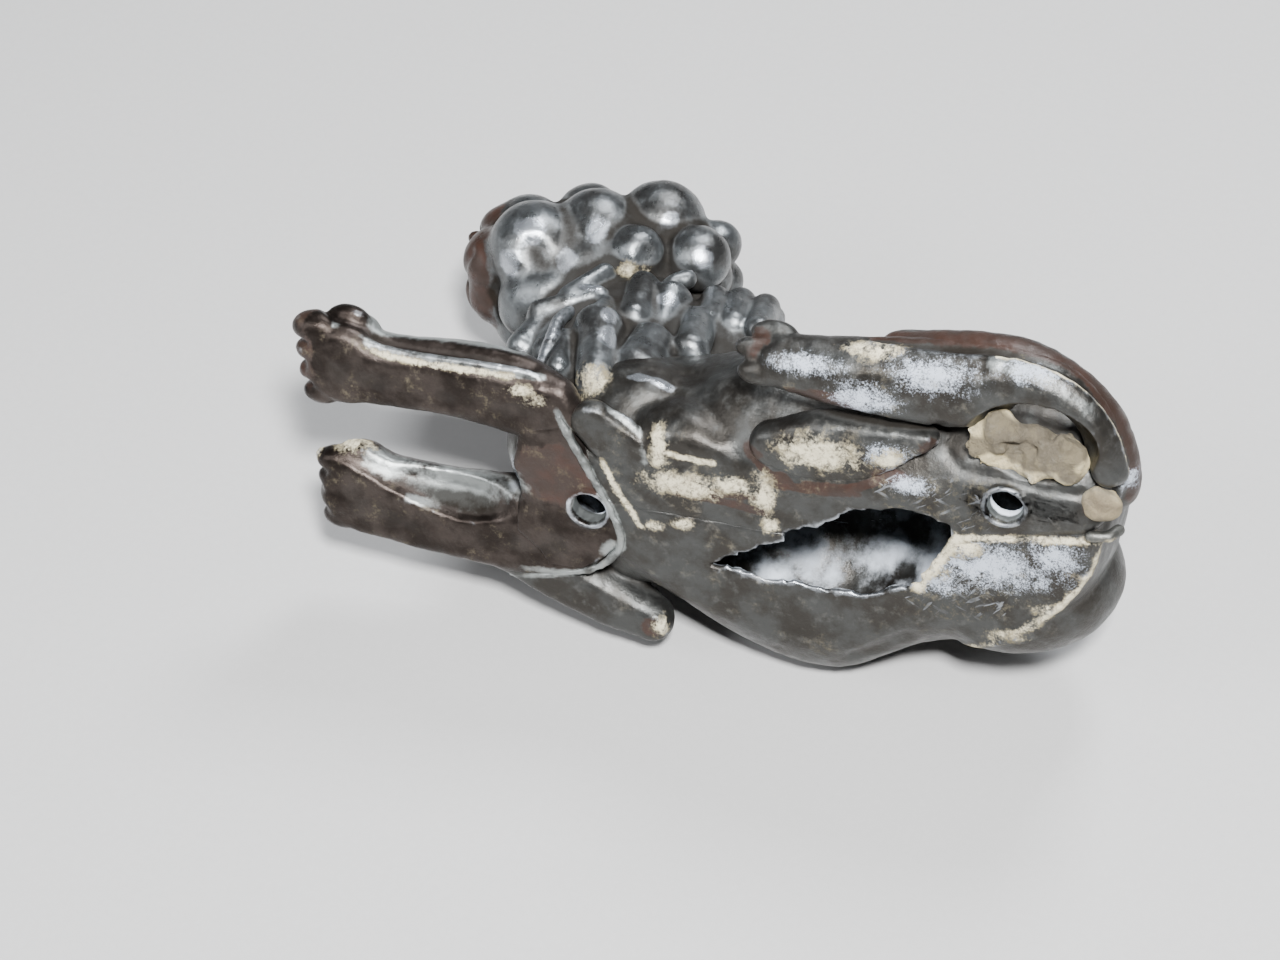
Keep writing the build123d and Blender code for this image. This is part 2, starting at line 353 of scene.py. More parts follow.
def trunk():
    """Torso with rump, chest, shoulders, haunches, elbow and right upper arm."""
    field = torso(*ALL).astype(np.float32)
    add_eggs(field, TRUNK_SWELLS)
    arm = GRID.empty()
    add_limb(arm, RIGHT_ARM, 0.3)
    add(arm, ball(*ELBOW_TIP), 0.5)
    field = soft_min(field, soft_max(arm, ARM_BOTTOM - ALL[2], 0.4), 0.4)
    add(field, span(*LEFT_ELBOW), 0.15)
    add_cord(field, ELBOW_RIM, 0.4, 0.2)
    press(field, FLANK_FOLD, 1.2, 0.45)
    return field


# ------------------------ legs and tail

LEFT_FORELEG = [
    (6.9, -36, 2.3, 4.1, 3.3),
    (6.3, -31, 2.4, 3.4, 3.5),
    (6.1, -25, 2.8, 3.5, 3.8),
    (5.4, -19, 2.7, 3.8, 3.7),
    (4.4, -14.4, 1.6, 3.8, 2.4),
]
RIGHT_FORELEG = [
    (-8, -36, 2.4, 4.4, 3.4),
    (-8.9, -31, 2.4, 4.5, 3.6),
    (-9.7, -25, 2.7, 4.6, 4),
    (-10.2, -19, 3.1, 5, 4.2),
    (-9.8, -14, 3.2, 4.8, 4.2),
]
LEFT_HIND_LEG = [
    (12.5, 7.4, 2.9, 2.5, 2.6),
    (12.2, 12, 2.9, 3, 3.2),
    (12, 18, 3.2, 3.6, 3.8),
    (12.2, 24, 3.4, 3.9, 4),
    (14, 28.8, 2.7, 2.4, 3),
    (13, 33, 2.5, 2, 2.7),
    (10, 35.9, 2.3, 1.8, 2.5),
    (6, 37.2, 2.4, 1.7, 2.4),
]
RIGHT_HIND_FOOT = [
    (4.3, 6.2, 1.5, 1.7, 1.7),
    (4.3, 8.8, 1.6, 3.1, 2.5),
    (4.7, 12, 1.8, 3.5, 2.8),
    (5.4, 15.6, 1.6, 2.9, 2.6),
    (6.6, 19, 1.4, 1.7, 2),
    (7.3, 21.2, 1.2, 0.9, 1.4),
]
TAIL = [
    (-0.6, 34, 8.6, 2.2, 2.4),
    (0.2, 37.2, 6.9, 1.8, 2.1),
    (4.2, 37.7, 4.8, 1.9, 2.1),
    (8.6, 36.5, 4.2, 2, 2.2),
    (12.2, 33.6, 4.2, 2, 2.3),
    (14.3, 29.4, 4.4, 2, 2.4),
    (14.4, 25, 4.8, 2, 2.4),
    (13.5, 20.6, 5.4, 2.1, 2.3),
    (12.6, 17.6, 5.9, 2.2, 2.2),
]
# Paws: swellings (centre, semi-axes, fillet), and toes (x, radius) with their y
LEFT_PAW = [((7.2, -35.2, 2.2), (4.3, 3.8, 3.5), 0.8), ((9.4, -34.4, 3.9), (1.7, 2.2, 1.5), 0.4)]
RIGHT_PAW = [((-7.6, -35.2, 2.2), (4.7, 3.9, 3.5), 0.8)]
LEFT_TOES = [(10.6, 1.75), (8.3, 1.7), (5.9, 1.7), (3.8, 1.5)]
RIGHT_TOES = [(-10.8, 1.6), (-8.6, 1.6), (-6.3, 1.6), (-4.4, 1.5)]
LEFT_TOE_Y = -37.6
RIGHT_TOE_Y = -37.2
TOE = (0.94, 1.35, 1)  # semi-axes, as shares of the toe's radius
KNUCKLE = (0.86, 1.25, 0.9)
KNUCKLE_BACK = 2.4  # how far a knuckle sits behind its toe
HIND_TOES = [((14.2, 6.2, 4.4), (1.35, 2.3, 1.35), 0.25), ((13.4, 5.2, 3), (1.35, 2.3, 1.35), 0.25),
             ((11.8, 5.6, 1.9), (1.35, 2.3, 1.35), 0.25)]
HIND_TOE_CREASES = [[(15.2, 6, 3.6), (13.8, 4, 3.7), (12.4, 5, 3.6)],
                    [(14.9, 6.4, 2.2), (13.2, 3.6, 2.3), (11, 5, 2.2)]]
RIGHT_HIND_TOES = [((4.2, 6.6, 1.6), (2.3, 2.2, 1.9), 0.4)]
TAIL_TIP = [((12.6, 18.4, 5.8), (2.3, 3, 2.3), 0.5)]
FLASH_LINE = [(11.3, -36.6, 1.5), (10.5, -34.6, 1.4), (9.4, -30.7, 1.2), (9.2, -26.2, 1.1), (9.1, -21.3, 1.1),
              (8.7, -16.6, 1.2), (7.6, -14.8, 1.4)]
FLASH_BEAD = (7.6, -15.6, 1.3)
INNER_SCOOP = [
    (-2.2, -36.4, -0.2, 1.3, 1.2),
    (-2.9, -32.4, -0.2, 2.5, 2.1),
    (-4.1, -28.7, 0, 3, 2.7),
    (-5.1, -24.5, 0.1, 3.4, 2.9),
    (-4.6, -21.2, -0.2, 3.3, 2.1),
    (-3.8, -17.2, -0.8, 2.6, 1.1),
]


def add_toes(field, toes, toe_y, crease):
    """A row of toes (x, radius) at the front of a paw, with a crease between neighbours."""
    for toe_x, radius in toes:
        add(field, egg((toe_x, toe_y, radius), [radius * share for share in TOE]), 0.2)
        knuckle = (toe_x, toe_y + KNUCKLE_BACK, radius * 2.0)
        add(field, egg(knuckle, [radius * share for share in KNUCKLE]), 0.35)
    for (first_x, _), (second_x, _) in zip(toes, toes[1:]):
        middle = (first_x + second_x) / 2
        line = [(middle, toe_y + back, z) for back, z in ((-1.4, 0.2), (-1.6, 2.2), (0.0, 3.6), (2.6, 5.0))]
        press(field, line, 0.5, crease)


def limb(stations, swells):
    field = GRID.empty()
    add_limb(field, stations)
    add_eggs(field, swells)
    return field


def left_foreleg():
    """Foreleg with the raised line of the mould along its outer side."""
    field = limb(LEFT_FORELEG, LEFT_PAW)
    add_toes(field, LEFT_TOES, LEFT_TOE_Y, 0.5)
    press(field, [(x + 0.2, y, z + 1.1) for x, y, z in FLASH_LINE[:-1]], 0.6, 0.6)
    add_cord(field, FLASH_LINE, 0.40, 0.12)
    add(field, ball(FLASH_BEAD, 0.75), 0.2)
    return field


def right_foreleg():
    field = limb(RIGHT_FORELEG, RIGHT_PAW)
    add_toes(field, RIGHT_TOES, RIGHT_TOE_Y, 0.3)
    return field


def left_hind_leg():
    field = limb(LEFT_HIND_LEG, HIND_TOES)
    for line in HIND_TOE_CREASES:
        press(field, line, 0.45, 0.35)
    return field


# ------------------------ head and mane

HEAD = (0, -20.5, 31.6)
SKULL = [(HEAD, (7.6, 10, 8.2), 0.5), ((0, -23.6, 25.2), (4.5, 5, 3.4), 1.4)]
NOSE = [((0, -33.1, 31), (1.2, 1.2, 0.9), 0.4)]
# Curls of the left side, repeated on the right: centre, radius, depth of the dimple
SIDE_CURLS = [
    ((4, -25.7, 29.4), 4.9, 1.3),
    ((3, -28.2, 34.4), 3.6, 0),
    ((4.9, -20.2, 32.6), 4.3, 0),
    ((3.4, -22.6, 37.3), 3.5, 0),
    ((4.2, -14.6, 36), 4.6, 0),
    ((3.5, -9.5, 31.8), 3.3, 0),
    ((2.2, -9, 36.8), 2.5, 0),
    ((5.1, -15, 29.2), 2.7, 0.9),
    ((1.7, -30, 29.8), 3.7, 0),
    ((2.6, -30.5, 33.8), 2.9, 0),
    ((4.9, -10.2, 25.2), 1.1, 0),
    ((4.7, -8.9, 26), 1, 0),
]
MIDDLE_CURLS = [((0, -28, 37.6), 3), ((0, -19.5, 39.4), 3.1), ((0, -12.6, 38.6), 3),
                ((0, -9.8, 34), 3)]
EYE = (2.6, -33.1, 32.2)
SOCKET_R = 1.15
EYEBALL = (0.85, 1.05, 0.75)
MOUTH = [(0, -33.8, 27.9), (1.8, -33.6, 27.3), (3.8, -32.2, 27.6)]
LIP_CLEFT = [(0, -34, 30.4), (0, -34, 28.4)]
NECK = [
    ((0, -13.6, 20), (5.2, 8.6, 11), 0.5, (18, 0, 0)),
    ((0, -4.4, 23.4), (3.9, 4.9, 5.6), 1),
    ((0, -17.2, 13), (4.4, 5, 8), 1),
]
# Hair locks of the left side, repeated on the right: start, end, sizes at the start and the end
LOCKS = [
    ((5, -16.8, 24.6), (4.8, -19.2, 20.4), 1.3, 1.2),
    ((4.8, -16.4, 21), (4, -21.4, 18), 1.2, 1.5),
    ((3.8, -9.4, 22.8), (4, -9, 17), 2.5, 0.8),
    ((4.4, -12.6, 23.6), (4.5, -11.7, 17.8), 2.1, 2.2),
    ((4.6, -14.9, 19.6), (5.1, -14.2, 14.6), 1.2, 2.7),
    ((5.1, -14.2, 14.6), (4.8, -12.4, 7.2), 2.7, 2.3),
    ((4.6, -17.2, 13.4), (4.8, -16.2, 8), 1.1, 1.5),
    ((2.6, -20.8, 19.8), (2.6, -22, 13.6), 2.1, 1.9),
    ((3, -18.8, 20.6), (3.6, -18.6, 12.4), 1.8, 1.8),
    ((4.2, -9.2, 15.4), (4.6, -9, 10.4), 2.2, 2.4),
    ((3, -6.2, 21), (4, -5.2, 15.4), 2, 1.8),
]
BLADE = [(5.5, -18, 16.8), (5.8, -18.3, 14.4), (5.7, -18.1, 11.8), (5.2, -17.9, 8.6)]
# Tufts of the nape block: the (y, z) of each row, and the rods in a row as start and end from
# there, sizes at the start and the end, fillet
NAPE_TUFTS = [(-6.2, 25.4), (-3.6, 25.6), (-1, 25)]
TUFT_RODS = [
    ((0.9, 0.5, 1.6), (1, 1.4, -3.4), (1.3, 1.3), (1.2, 1.2), 0.35),
    ((2.4, 0, 1), (3.1, 0.7, -3.8), (1.5, 1.5), (1.4, 1.3), 0.45),
]


def mirrored(point, side):
    return (side * point[0], point[1], point[2])


def dimple(field, centre, radius, depth, side):
    """Round hollow in a curl, on its lower back side, away from the middle of the head."""
    outward = np.array(mirrored(centre, side)) - HEAD
    outward = outward / np.linalg.norm(outward) + (0.6 * side, 1.3, -1.7)
    outward /= np.linalg.norm(outward)
    cut(field, ball(np.array(mirrored(centre, side)) + outward * (radius + 2.0), 2.0 + 0.4 * depth), 0.9)


def head():
    """Skull and muzzle under round curls, some of them dimpled."""
    field = GRID.empty()
    add_eggs(field, SKULL)
    for side in (1, -1):
        for centre, radius, _ in SIDE_CURLS:
            add(field, ball(mirrored(centre, side), radius), 0.9)
    for centre, radius in MIDDLE_CURLS:
        add(field, ball(centre, radius), 0.45)
    for side in (1, -1):
        for centre, radius, depth in SIDE_CURLS:
            if depth:
                dimple(field, centre, radius, depth, side)
        cut(field, ball(mirrored(EYE, side), SOCKET_R), 0.3)
        add(field, egg(mirrored(EYE, side), EYEBALL), 0.1)
        press(field, [mirrored(p, side) for p in MOUTH], 0.45, 0.5)
    add_eggs(field, NOSE)
    press(field, LIP_CLEFT, 0.35, 0.4)
    return field


def mane():
    """Neck under hanging locks, with a tufted block at the nape."""
    field = GRID.empty()
    add_eggs(field, NECK)
    for side in (1, -1):
        for start, end, first, last in LOCKS:
            a, b = mirrored(start, side), mirrored(end, side)
            add(field, span(a, b, (first, first * 0.8), (last, last * 0.8)), 0.8)
        add_cord(field, [mirrored(p, side) for p in BLADE], 0.62, 0.15)
        for y, z in NAPE_TUFTS:
            for start, end, first, last, fillet in TUFT_RODS:
                a, b = (mirrored((p[0], y + p[1], z + p[2]), side) for p in (start, end))
                add(field, span(a, b, first, last), fillet)
    return field


# ------------------------ plates, seams and plaster

CHEST_OUTLINE = [(3.4, -17.6), (4.8, -13.4), (3, -12.4), (-0.4, -10.6), (-4, -8.6), (-7.2, -7.4),
                 (-9.6, -9), (-12.6, -12.4), (-12.8, -16), (-9, -19.6), (-5, -18.4), (-1, -18.6)]
REAR_OUTLINE = [(-1.6, 24.8), (1.5, 22.4), (4.2, 24.6), (4.4, 30), (3.2, 35.4), (-0.6, 36.4), (-1.2, 30)]
SLOT_UPPER = [(-9.7, 0.6), (-7.6, 4), (-4, 9.6), (-1.3, 14), (-0.2, 19.4), (-1.4, 23.2)]
SLOT_LOWER = [(-2.4, 23.4), (-8.4, 20.6), (-10.6, 15), (-10.4, 6.8)]
PARTING = [(-2, -40), (-4.5, 0), (-5, 12), (-3, 25), (0, 36), (0, 50)]
FRONT_HOLE = (-5, -11.3)
REAR_HOLE = (1.7, 28.3)
HOLE_R = 1.7
PLATE = 3.6
POCKET = ((8.6, 30.6, 0), (4.3, 5.9, 3.2))
LUMPS = [((7, 26.2, 1.9), (2.7, 3, 1.5), 0.5), ((9.2, 27.6, 1.6), (1.5, 1.6, 1.2), 0.5),
         ((6.6, 30, 2.2), (2.7, 3, 1.3), 0.5), ((7.1, 33, 1.2), (2.4, 2.4, 1.5), 0.5),
         ((5.4, 31.4, 1.6), (1.3, 2.6, 1.1), 0.5), ((5.6, 33.6, 1.3), (1, 1.4, 1), 0.5)]
CHEST_SEAM = [(6.9, -13.6, 1), (5.2, -13.4, 0.1), (2.6, -12.4, 0), (-0.6, -10.9, 0), (-4.9, -9, 0),
              (-8.4, -8.2, 0), (-10.4, -9.4, 0), (-12.2, -11.4, 0.2), (-14, -16.4, 0.6), (-15, -20.2, 1.2)]
RUMP_SEAM = [(-1.8, 29.6, 0), (-0.9, 33, 0), (-0.4, 36, 0), (-0.3, 37.6, 0.4), (-0.3, 38.4, 1.6)]
RUMP_LUMP = [((2.9, 36.9, 0.7), (1.7, 1.9, 1.2), 0.2)]
TAIL_CREASE = [(14.7, 15.4, 4), (15.5, 18, 3.6), (16.4, 22.5, 3.1), (16.7, 27.2, 2.8), (16.1, 32.2, 2.6),
               (12.6, 36.4, 2.6), (8.6, 38.6, 2.6), (4.6, 39.4, 2.8), (1.4, 39.4, 3)]
TAIL_RIDGE = [(x - 0.4, y, z - 1.1) for x, y, z in TAIL_CREASE]
HIP_CREASE = [(9.4, 22.6, 0), (6.4, 22.6, 0), (4.8, 24.8, 0), (4.6, 28, 0), (4, 32.6, 0),
              (4, 35.6, 0)]
# Grooves pressed into the surface, or ridges raised from it: line, half width, depth
CREASES = [
    (TAIL_CREASE, 0.5, 0.8), (TAIL_RIDGE, 0.55, -0.25), (HIP_CREASE, 0.45, 0.35), (RUMP_SEAM, 0.45, 0.6),
    (BELLY_FOLD, 0.9, 0.5), (HAUNCH_EDGE, 0.5, -0.3), (BELLY_RIDGE, 0.8, -0.15),
]


def plan_distance(outline, x, y):
    """Signed distance in plan to a closed outline, negative inside."""
    outline = np.array([*outline, outline[0]], float)
    inside = np.zeros(np.broadcast(x, y).shape, bool)
    for a, b in zip(outline, outline[1:]):
        crosses = (a[1] > y) != (b[1] > y)
        slope = (x - a[0]) * (b[1] - a[1]) - (y - a[1]) * (b[0] - a[0])
        inside ^= crosses & ((slope < 0) == (b[1] > a[1]))
    return (np.sqrt(line_gap((x, y), outline)) * np.where(inside, -1, 1)).astype(np.float32)


def plate(outline, top):
    """Distance to a flat plate over an outline, from the underside up to top."""
    x, y, z = ALL
    return np.maximum(plan_distance(outline, x, y), z - top)


def left_of_parting():
    """Distance across to the parting line in plan, negative on its left side."""
    x, y = ALL[:2]
    line = np.array(PARTING)
    return (np.interp(y, line[:, 1], line[:, 0]) - x).astype(np.float32)


def hole_distance(centre, x, y, radius):
    return np.sqrt((x - centre[0]) ** 2 + (y - centre[1]) ** 2) - radius


# ------------------------ painted patches

# Each finish lies in soft blobs: x, y, z of the centre and the semi-axes. The bright blobs are painted
# highlights, and so are the pale blobs in the right foreleg's scoop.
PATCHES = {
    "plaster": [
        (4.9, 11.2, -0.4, 2.6, 5.4, 2), (5.2, 17.6, -0.2, 1.5, 2.2, 1.4), (15.2, 16.2, 2.4, 1.2, 3.4, 1.7),
        (5, -4.4, 0, 1.8, 1.4, 1.6), (2.8, -4, 0, 2.8, 1.2, 1.2), (-0.7, -1.6, 0, 1.9, 5.4, 1),
        (-0.6, 5.9, 0, 3.2, 1.5, 1), (-4, 6.4, 0, 1.4, 1.1, 1), (0, 3, 0, 1.3, 3, 1),
        (-5.9, -5, 0, 0.8, 1.5, 0.6), (-5.2, -2, 0, 0.9, 1.6, 0.6), (-14.8, -5.4, 0.4, 2, 1.3, 1.4),
        (-18.4, -5.2, 0.6, 1.8, 1.2, 1.2), (7.4, -17, 0.2, 0.8, 1.8, 0.7),
        (9.8, -34.4, 4.2, 1.4, 1.9, 1.4), (-3.2, -35.8, 2.4, 1.6, 2.6, 1.5),
        (-3.6, -39.2, 1.6, 1.1, 0.9, 1.2), (5.4, -12.2, 6, 2, 2, 1.8), (-6.6, 20.4, 0, 1.9, 3.2, 1),
        (-3.6, 24.6, 0, 1.4, 2.4, 1), (-1, 37.4, 0.3, 1.2, 1.6, 1.2), (-5.1, 36.2, 0.1, 1, 2.2, 0.9),
        (-9.4, 32.8, 0.1, 1, 2.4, 0.9), (-13, 28.6, 0.2, 1, 2.4, 0.9), (16.9, 30, 2.8, 0.9, 3.4, 0.7),
        (-14.6, 2.6, 2, 1.6, 0.8, 1.4), (6.6, -15.6, 0.6, 1.2, 2.4, 1),
    ],
    "bloom": [
        (11.4, 15.6, 0, 2.2, 3.6, 1.6), (14.6, 21.6, 0.4, 2.2, 4.6, 2.2), (14, 10, 0.6, 1.2, 4, 1.4),
        (-5.2, 27, 0, 3, 7.6, 1.4), (-3.2, 33, 0, 2.4, 3, 1.4), (5.6, 17.8, 0, 1.6, 2.6, 1.2),
        (2.6, 19.6, 0, 1.1, 2.4, 0.8), (-7.8, 21.4, 0, 1.6, 4, 1), (3.8, 38.9, 3.6, 1.5, 1.2, 1.5),
        (16, 31, 1, 1.4, 4, 1.6), (-9, 12, 0, 1, 6, 1),
    ],
    # Painted highlights: bright metal colour laid where highlights fall on the curls, locks, shoulder, chest
    # scoop and the top of the left foreleg.
    "painted_highlight": [
        (7.9, -25.2, 26.9, 2.4, 2, 2), (4.9, -26.9, 24.8, 1.9, 1.6, 2.4),
        (5.4, -21.2, 25.9, 1.3, 1.5, 1.9), (7.7, -18.8, 28.9, 2.2, 1.8, 2),
        (5.2, -8.2, 29.5, 1.4, 1.4, 1.7), (5.6, -9.2, 20.9, 1.6, 1.5, 1.4),
        (7.4, -12.9, 14.6, 1.3, 1.3, 2.3), (6.8, -12.2, 11.4, 1.5, 1.4, 2.2),
        (5.9, -17, 20.9, 1.4, 1.7, 1), (5.9, -5.3, 6.2, 1, 2.2, 0.9), (6.4, -7.5, 6.2, 0.8, 1.6, 0.8),
        (4.6, -16, 8.8, 1.4, 1, 1.6), (6.8, -12.6, 33, 1.2, 1.2, 1.4), (-3.6, -19.4, 2.2, 2.6, 2.4, 2.2),
        (10.2, -22, 3.4, 0.7, 8, 0.9),
    ],
    "lacquer": [
        (0, -34.5, 30, 11, 7, 12), (-1.6, -14, 0, 2.8, 3.6, 1.6), (13.6, 5.2, 3.4, 2, 1.6, 2.2),
        (3.6, 5, 1.2, 1.6, 1.6, 2), (1.2, 7.6, 0, 1.2, 1.8, 1.4), (1, 12, 0, 0.9, 4, 1.2),
        (3.4, 18, 0, 1.2, 2.6, 1.2), (6.6, 22, 0, 1.8, 1.8, 1.4), (8, -38.6, 2.6, 4, 1.6, 2.4),
        (10.6, 12, 0.4, 1.6, 5, 1.6), (15.2, 27, 6.4, 2, 8, 1.4), (12, 35.8, 4, 3, 3, 2),
        (-18.6, -6, 0.8, 1.6, 1.6, 1.6), (-1, 2, 0, 0.7, 4, 0.8), (2.9, 36.9, 0, 1.9, 2.2, 1.8),
    ],
    # Pale metal; the blobs in the right foreleg's scoop are painted highlight as well.
    "pale_and_highlight": [
        (-5.6, -25, 2.4, 3.4, 5.6, 2.6), (-3.6, -19.4, 2.2, 3.4, 3.2, 2.6), (-4, -31.5, 2, 2, 3.6, 2),
        (-5, -11.3, 0, 2.1, 2.1, 0.7), (1.7, 28.3, 0, 2, 2, 0.6), (-13.2, -14.8, 0.4, 0.8, 4.6, 0.9),
        (-9.6, -9.4, 0.2, 1.6, 1.2, 0.8), (-13.6, -30, 1, 0.7, 6.4, 0.8), (-7.2, -27.6, 0.6, 0.7, 5, 0.7),
        (5.6, -9, 1.4, 0.6, 2.4, 0.7),
    ],
}
FILED = [(2.6, 23, 0, 4.4, 7, 2), (-7.6, 24, 0, 4.4, 6, 2)]
TAIL_PLASTER = [(x - 0.3, y, z - 0.8) for x, y, z in TAIL_CREASE[3:]]
TAIL_LACQUER = [(x, y, z + 1.6) for x, y, z in TAIL_CREASE]
# Finishes that follow a line: finish, points, reach
STRIPES = [
    ("plaster", HAUNCH_EDGE, 0.75), ("plaster", TAIL_PLASTER, 0.4), ("lacquer", TAIL_LACQUER, 1.6),
    ("plaster", [(9.8, -34.6, 0.9), (8.9, -28, 0.6), (8.6, -18, 0.6)], 0.5),
    ("plaster", [(0.6, -9.6, 0), (-2.9, -8, 0), (-6.1, -6.2, 0)], 0.55),
    ("plaster", [(2.9, -4, 0), (2.4, -1.6, 0), (2.2, 1.2, 0)], 0.5),
    ("plaster", [(-2.4, 24, 0), (-1.7, 30, 0), (-0.9, 36, 0)], 0.6),
    ("plaster", [(-2.6, 24.2, 0), (-6, 22, 0), (-8.6, 20.4, 0)], 1),
    ("plaster", [(4.7, -15.5, 26.8), (5.2, -14.2, 25.6), (4.6, -12.8, 26.6)], 1),
    # The bright stripe along the blade is a painted highlight.
    ("painted_highlight", BLADE, 0.9), ("pale_and_highlight", CHEST_SEAM, 0.55), ("pale_and_highlight", ELBOW_RIM, 0.7), ("pale_and_highlight", FLASH_LINE, 0.6),
    # The next two pale stripes, on top of the left foreleg and on the leg's slope beside the tail, are
    # painted highlights.
    ("pale_and_highlight", [(10, -33, 3.9), (9.4, -26, 4.5), (8.9, -18.5, 4.7)], 1.3),
    ("pale_and_highlight", [(16, 27, 1.6), (15, 31.4, 1.4), (12.6, 35, 1.2)], 1),
    ("lacquer", [(3.4, 4.6, 0.8), (1.4, 7, 0.2), (0.8, 9.6, 0), (1.8, 15, 0), (4.6, 19.4, 0)], 0.6),
    ("lacquer", [(-1.6, -3, 0), (-2, 2, 0), (-2.6, 6, 0)], 0.6),
]


def paint(points, blobs):
    """How deep each point (mm) lies in a set of blobs: 1 at a centre, 0 at an edge, never below -1."""
    depth = np.full(len(points), -1.0)
    for blob in blobs:
        reach = np.sqrt((((points - blob[:3]) / blob[3:]) ** 2).sum(1))
        depth = np.maximum(depth, 1 - reach)
    return depth


# ------------------------ meshes

def surface_net(values, low, step):
    """Quad mesh of the zero surface of a sampled field: vertices in mm and quads."""
    inside = values < 0
    cells = tuple(n - 1 for n in values.shape)
    total = np.zeros(cells + (3,), np.float32)
    count = np.zeros(cells, np.float32)
    edges = []
    for axis in range(3):
        first = [slice(None)] * 3
        second = [slice(None)] * 3
        first[axis], second[axis] = slice(0, -1), slice(1, None)
        a, b = values[tuple(first)], values[tuple(second)]
        crossing = inside[tuple(first)] != inside[tuple(second)]
        places = np.argwhere(crossing)
        va, vb = a[crossing], b[crossing]
        point = places.astype(np.float32)
        point[:, axis] += va / (va - vb)
        others = [i for i in range(3) if i != axis]
        around = []
        for step_u, step_v in ((0, 0), (-1, 0), (-1, -1), (0, -1)):
            cell = places.copy()
            cell[:, others[0]] += step_u
            cell[:, others[1]] += step_v
            around.append(cell)
        within = [(cell >= 0).all(1) & (cell < cells).all(1) for cell in around]
        for cell, ok in zip(around, within):
            flat = np.ravel_multi_index(cell[ok].T, cells)
            np.add.at(count.reshape(-1), flat, 1)
            np.add.at(total.reshape(-1, 3), flat, point[ok])
        flip = (va < 0) ^ (axis == 1)
        edges.append((around, np.all(within, axis=0), flip))
    used = count > 0
    index = np.full(cells, -1, np.int64)
    index[used] = np.arange(used.sum())
    vertices = total[used] / count[used][:, None] * step + low
    quads = []
    for around, whole, flip in edges:
        corner = [index[tuple(cell[whole].T)] for cell in around]
        quad = np.stack(corner, 1)
        turned = flip[whole]
        quad[~turned] = quad[~turned][:, ::-1]
        quads.append(quad)
    return vertices, np.concatenate(quads)


def relax(vertices, quads, rounds=2):
    """Even out the mesh without moving it far."""
    ends = np.concatenate([quads[:, [i, (i + 1) % 4]] for i in range(4)])
    degree = np.bincount(ends[:, 0], minlength=len(vertices))
    for amount in (0.5, -0.52) * rounds:
        total = [np.bincount(ends[:, 0], vertices[ends[:, 1], i], len(vertices)) for i in range(3)]
        mean = np.stack(total, 1)
        vertices = vertices + amount * (mean / np.maximum(degree, 1)[:, None] - vertices)
    return vertices


def box_blur(values, reach):
    """Mean over a cube of reach cells each way."""
    for axis in range(3):
        padded = np.pad(values, [(reach + 1, reach) if i == axis else (0, 0) for i in range(3)], mode="edge")
        running = np.cumsum(padded, axis=axis, dtype=np.float32)
        count = values.shape[axis]
        ahead = np.take(running, np.arange(2 * reach + 1, 2 * reach + 1 + count), axis=axis)
        behind = np.take(running, np.arange(0, count), axis=axis)
        values = (ahead - behind) / (2 * reach + 1)
    return values


def make_piece(name, field, node, material, masks):
    """Mesh a field and set it up as the piece that stands for a CAD node."""
    solid = np.argwhere(field < 0)
    low = np.maximum(solid.min(0) - 2, 0)
    high = solid.max(0) + 3
    part = tuple(slice(a, b) for a, b in zip(low, high))
    vertices, quads = surface_net(field[part], GRID.low + low * GRID.step, GRID.step)
    vertices = relax(vertices, quads)
    mesh = bpy.data.meshes.new(name)
    mesh.vertices.add(len(vertices))
    mesh.vertices.foreach_set("co", ((vertices + (MIDLINE_X, 0, 0)) * MM).astype(np.float32).ravel())
    mesh.loops.add(quads.size)
    mesh.loops.foreach_set("vertex_index", quads.astype(np.int32).ravel())
    mesh.polygons.add(len(quads))
    mesh.polygons.foreach_set("loop_start", np.arange(0, quads.size, 4, dtype=np.int32))
    mesh.polygons.foreach_set("use_smooth", np.ones(len(quads), bool))
    mesh.update(calc_edges=True)
    mesh.validate()
    for mask, values in masks(vertices).items():
        layer = mesh.attributes.new(mask, "FLOAT", "POINT")
        layer.data.foreach_set("value", values.astype(np.float32))
    piece = bpy.data.objects.new(name, mesh)
    bpy.context.scene.collection.objects.link(piece)
    piece.data.materials.append(material)
    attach(piece, "root")
    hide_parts(node)
    return piece


# ------------------------ the whole figure

FILLETS = {"left_foreleg": 0.35, "right_foreleg": 0.4, "left_hind_leg": 0.35, "right_hind_foot": 0.25,
           "tail": 0.15, "mane": 0.5, "head": 0.35}
# Unevenness of each surface: noise as cell, height and seed, all lengths in mm
ROUGHNESS = {
    "slot": ((1.3, 0.4, 1), (0.6, 0.25, 2)),
    "hollow": ((2.6, 0.25, 4),),
    "cast": ((1.6, 0.05, 6), (0.7, 0.03, 7)),
    "underside": ((2.4, 0.10, 11), (0.9, 0.06, 12)),
    "crust_edge": ((0.9, 0.35, 8),),
    "crust": ((0.8, 0.12, 9),),
    "lumps": ((1.5, 0.5, 3), (0.7, 0.3, 10)),
    "rump_lump": ((0.8, 0.2, 13),),
    "solder": ((0.8, 0.14, 14),),
}
SLOT_EDGE = 0.5  # thickness of the torn edge of the slot
SLOT_DEPTH = 5.0  # the slot is cut this far up, into the hollow
POCKET_WALL = 1.6
HOLE_DEPTH = 9.0
HOLE_TAPER = 0.12
RIM_GAP = 0.25  # from a hole's edge to the middle of its punched rim
RIM_R = 0.32
CRUST = 0.16  # thickness of the plaster left on the metal
EDGE_REACH = 0.6  # blur that finds rubbed edges
HOLLOW_REACH = 2.2  # blur that finds hollows, darkened with dirt and painted shade
SOLDER_BEADS = (("front_seam_solder", CHEST_SEAM, 0.38), ("rump_seam_solder", RUMP_SEAM[2:], 0.5))


def rough(surface, start=0):
    """Unevenness of a surface over the whole grid, added to start."""
    return sum((height * noise(cell, seed) for cell, height, seed in ROUGHNESS[surface]), start)


